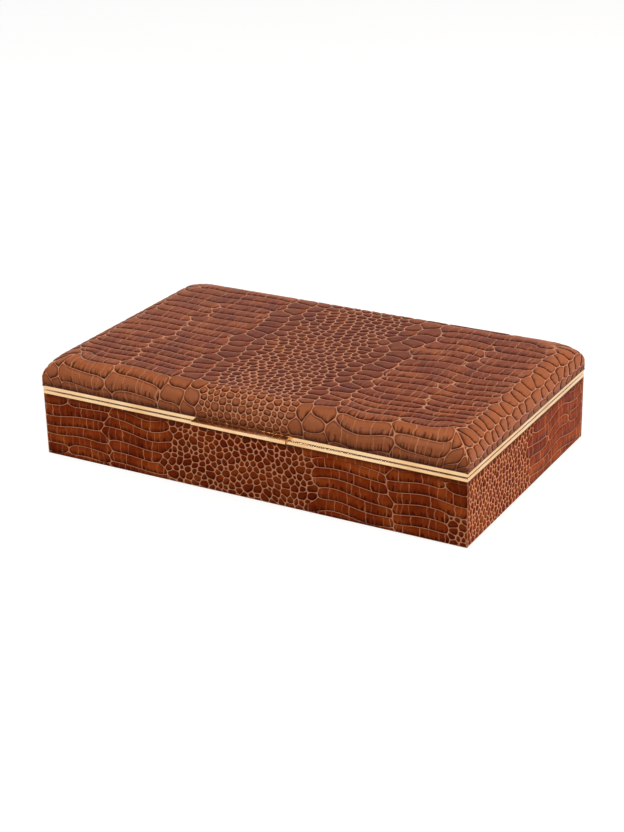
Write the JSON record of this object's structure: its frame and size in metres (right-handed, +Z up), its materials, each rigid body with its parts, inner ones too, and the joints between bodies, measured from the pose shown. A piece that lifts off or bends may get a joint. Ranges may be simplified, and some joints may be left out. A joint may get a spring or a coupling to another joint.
{
  "type": "stationery box",
  "caption": "Rectangular hinged stationery box covered in crocodile-embossed leather, with a soft-edged lid, brass bars along the meeting edges and a brass thumb tab.",
  "frame": {"origin": "centre of the underside, on the face of the pad that the box stands on, midway between the brass edges in X and Y", "axes": "+Z up; +X to the right as seen from the front, along the length of the box; -Y towards the front, where the thumb tab is; +Y towards the hinges"},
  "size_m": [0.361, 0.2289, 0.0805],
  "materials": {
    "leather": "semi-gloss crocodile-embossed chestnut leather",
    "brass": "polished pale brass",
    "board": "plain sanded wood",
    "suede": "brown suede",
    "felt": "dark brown felt"
  },
  "bodies": {
    "base": {"base_front_wall": "board", "base_right_wall": "board", "base_back_wall": "board", "base_left_wall": "board", "base_floor_board": "board", "base_leather_front": "leather", "base_leather_right": "leather", "base_leather_back": "leather", "base_leather_left": "leather", "base_rim_front": "brass", "base_rim_right": "brass", "base_rim_back": "brass", "base_rim_left": "brass", "base_lining_front": "suede", "base_lining_right": "suede", "base_lining_back": "suede", "base_lining_left": "suede", "base_lining_floor": "suede", "underside_pad": "felt", "rim_bumpers": "suede", "base_hinge_leaf_left": "brass", "base_hinge_leaf_right": "brass", "hinge_pin_left": "brass", "hinge_pin_right": "brass", "base_hinge_screws_left": "brass", "base_hinge_screws_right": "brass"},
    "lid": {"lid_front_rail": "board", "lid_right_rail": "board", "lid_back_rail": "board", "lid_left_rail": "board", "lid_top_board": "board", "lid_leather": "leather", "lid_rim_front": "brass", "lid_rim_right": "brass", "lid_rim_back": "brass", "lid_rim_left": "brass", "lid_lining_front": "suede", "lid_lining_right": "suede", "lid_lining_back": "suede", "lid_lining_left": "suede", "lid_lining_top": "suede", "lid_hinge_leaf_left": "brass", "lid_hinge_leaf_right": "brass", "lid_hinge_screws_left": "brass", "lid_hinge_screws_right": "brass", "thumb_tab": "brass", "tab_screws": "brass"}
  },
  "joints": [
    {"name": "lid_hinge", "type": "hinge", "parent": "base", "child": "lid", "pos_m": [0, 0.11065, 0.0542], "axis": [-1, 0, 0], "range_deg": [0, 95]}
  ]
}
